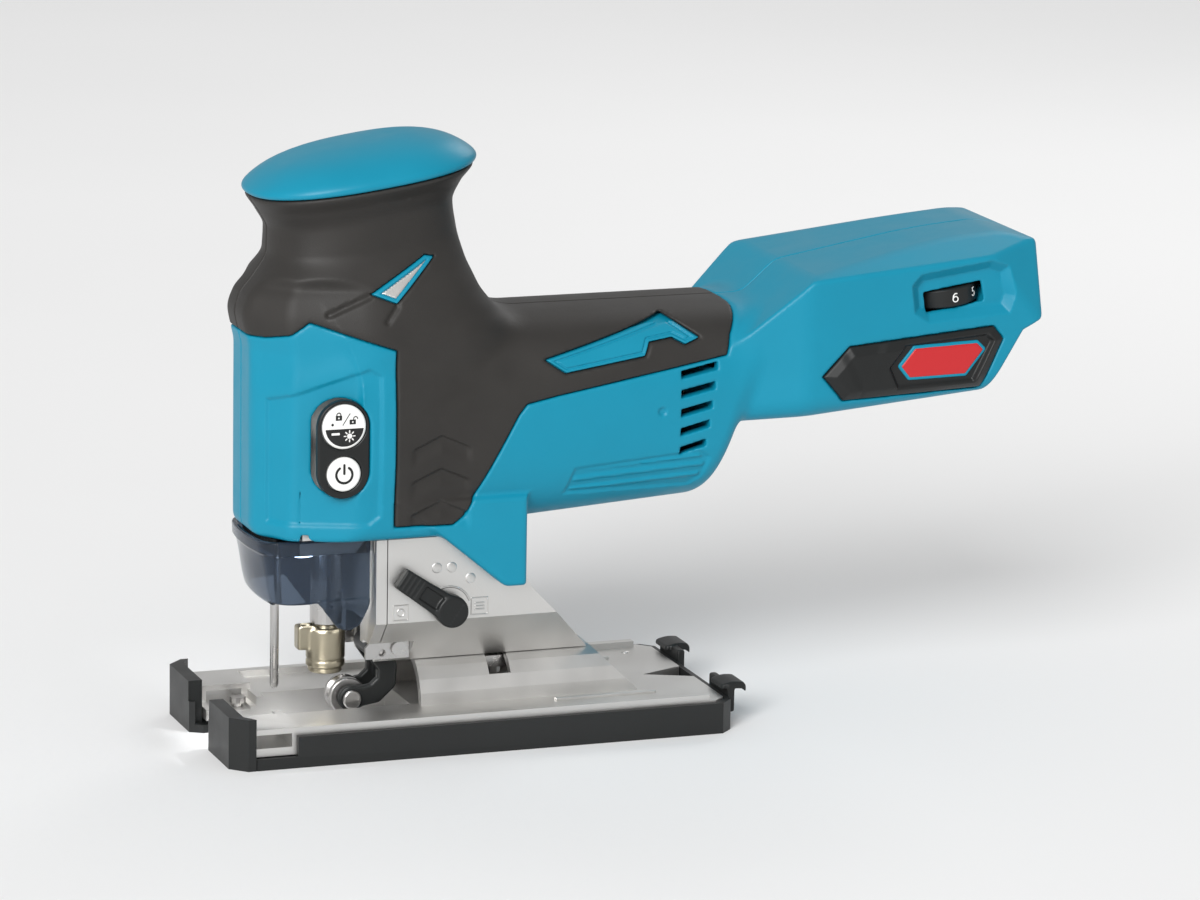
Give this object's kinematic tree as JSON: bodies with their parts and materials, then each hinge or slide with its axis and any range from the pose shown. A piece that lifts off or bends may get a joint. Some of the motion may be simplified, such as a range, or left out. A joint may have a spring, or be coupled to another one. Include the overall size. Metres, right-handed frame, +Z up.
{
  "type": "cordless jigsaw",
  "caption": "Barrel-grip cordless jigsaw with a tilting shoe, reciprocating plunger, guide roller, sliding visor and rear battery bay.",
  "frame": {"origin": "in the sole plane, at the middle of the shoe's length and width", "axes": "-X is the cutting direction, +X points to the battery end, +Z is up and -Y is the tool's left side"},
  "size_m": [0.27, 0.077, 0.1927],
  "materials": {
    "teal_plastic": "fine grained moulding",
    "rubber": "soft overmould",
    "black_plastic": "moulded",
    "white_plastic": "moulded",
    "cast_aluminium": "die cast",
    "steel": "ground",
    "bronze": "dull plated",
    "winding": "laminated core with copper windings",
    "smoked_plastic": "clear, smoked",
    "clear_plastic": "clear",
    "circuit_board": "coated board"
  },
  "bodies": {
    "housing": {"left_shell": "teal_plastic", "right_shell": "teal_plastic", "top_cap": "teal_plastic", "inlay_left": "teal_plastic", "inlay_right": "teal_plastic", "accent_left": "teal_plastic", "accent_right": "teal_plastic", "grip_left": "rubber", "grip_right": "rubber", "badge_left": "black_plastic", "badge_right": "black_plastic", "switch_bezel_left": "black_plastic", "switch_bezel_right": "black_plastic", "terminal_block": "black_plastic", "gear_housing": "cast_aluminium", "gear_cover": "cast_aluminium", "fork_plate_left": "cast_aluminium", "fork_plate_right": "cast_aluminium", "motor_bearing_front": "steel", "motor_bearing_rear": "steel", "gear_bearing": "steel", "fork_pin": "steel", "plate_screw_left": "steel", "plate_screw_right": "steel", "wire_guard": "steel", "tilt_plate": "steel", "base_bolt": "steel", "shell_screw_1": "steel", "shell_screw_2": "steel", "shell_screw_3": "steel", "shell_screw_4": "steel", "lower_bush": "bronze", "upper_bush": "bronze", "terminal_1": "bronze", "terminal_2": "bronze", "stator": "winding", "lamp_lens": "clear_plastic", "controller_board": "circuit_board", "dial_pot": "circuit_board"},
    "rotor": {"rotor": "steel", "fan": "black_plastic", "pinion": "steel"},
    "crank": {"crank_gear": "steel"},
    "plunger": {"plunger": "steel", "clamp_body": "bronze"},
    "clamp_sleeve": {"clamp_sleeve": "bronze"},
    "visor": {"visor": "smoked_plastic"},
    "fork": {"roller_fork": "black_plastic", "roller_pin": "steel"},
    "roller": {"roller": "steel"},
    "orbit_lever": {"orbit_lever": "black_plastic"},
    "shoe": {"base_plate": "cast_aluminium", "sole_cover": "black_plastic", "guide_screw_left": "steel", "guide_screw_right": "steel"},
    "lock_left": {"lock_button_left": "white_plastic"},
    "power_left": {"power_button_left": "white_plastic"},
    "lock_right": {"lock_button_right": "white_plastic"},
    "power_right": {"power_button_right": "white_plastic"},
    "speed_dial": {"speed_dial": "black_plastic"}
  },
  "joints": [
    {"name": "rotor_spin", "type": "hinge", "parent": "housing", "child": "rotor", "pos_m": [0, 0, 0.1058], "axis": [1, 0, 0], "continuous": true},
    {"name": "crank_spin", "type": "hinge", "parent": "housing", "child": "crank", "pos_m": [0, 0, 0.0866], "axis": [1, 0, 0], "continuous": true},
    {"name": "plunger_stroke", "type": "slide", "parent": "housing", "child": "plunger", "axis": [0, 0, 1], "range_m": [0, 0.026]},
    {"name": "clamp_turn", "type": "hinge", "parent": "plunger", "child": "clamp_sleeve", "pos_m": [-0.0415, 0, 0.026], "axis": [0, 0, 1], "range_deg": [0, 60], "stiffness_Nm_per_rad": 0.02, "springref_deg": -17.19},
    {"name": "visor_slide", "type": "slide", "parent": "housing", "child": "visor", "axis": [0, 0, -1], "range_m": [0, 0.01]},
    {"name": "fork_swing", "type": "hinge", "parent": "housing", "child": "fork", "pos_m": [-0.0265, 0, 0.0275], "axis": [0, 1, 0], "range_deg": [0, 9]},
    {"name": "roller_spin", "type": "hinge", "parent": "fork", "child": "roller", "pos_m": [-0.035, 0, 0.0118], "axis": [0, 1, 0], "continuous": true},
    {"name": "orbit_select", "type": "hinge", "parent": "housing", "child": "orbit_lever", "pos_m": [-0.0086, -0.026, 0.0435], "axis": [0, 1, 0], "range_deg": [-35, 45]},
    {"name": "bevel_tilt", "type": "hinge", "parent": "housing", "child": "shoe", "pos_m": [0, 0, 0.01], "axis": [1, 0, 0], "range_deg": [-45, 45]},
    {"name": "lock_press_left", "type": "slide", "parent": "housing", "child": "lock_left", "axis": [0, 1, 0], "range_m": [0, 0.001], "stiffness_N_per_m": 400, "springref_m": -0.001},
    {"name": "power_press_left", "type": "slide", "parent": "housing", "child": "power_left", "axis": [0, 1, 0], "range_m": [0, 0.001], "stiffness_N_per_m": 400, "springref_m": -0.001},
    {"name": "lock_press_right", "type": "slide", "parent": "housing", "child": "lock_right", "axis": [0, -1, 0], "range_m": [0, 0.001], "stiffness_N_per_m": 400, "springref_m": -0.001},
    {"name": "power_press_right", "type": "slide", "parent": "housing", "child": "power_right", "axis": [0, -1, 0], "range_m": [0, 0.001], "stiffness_N_per_m": 400, "springref_m": -0.001},
    {"name": "speed_turn", "type": "hinge", "parent": "housing", "child": "speed_dial", "pos_m": [0.1565, -0.0238, 0.1365], "axis": [-0.1392, 0, 0.9903], "range_deg": [-270, 0]}
  ],
  "couplings": [
    {"joint": "crank_spin", "follows": "rotor_spin", "ratio": -0.23077}
  ]
}
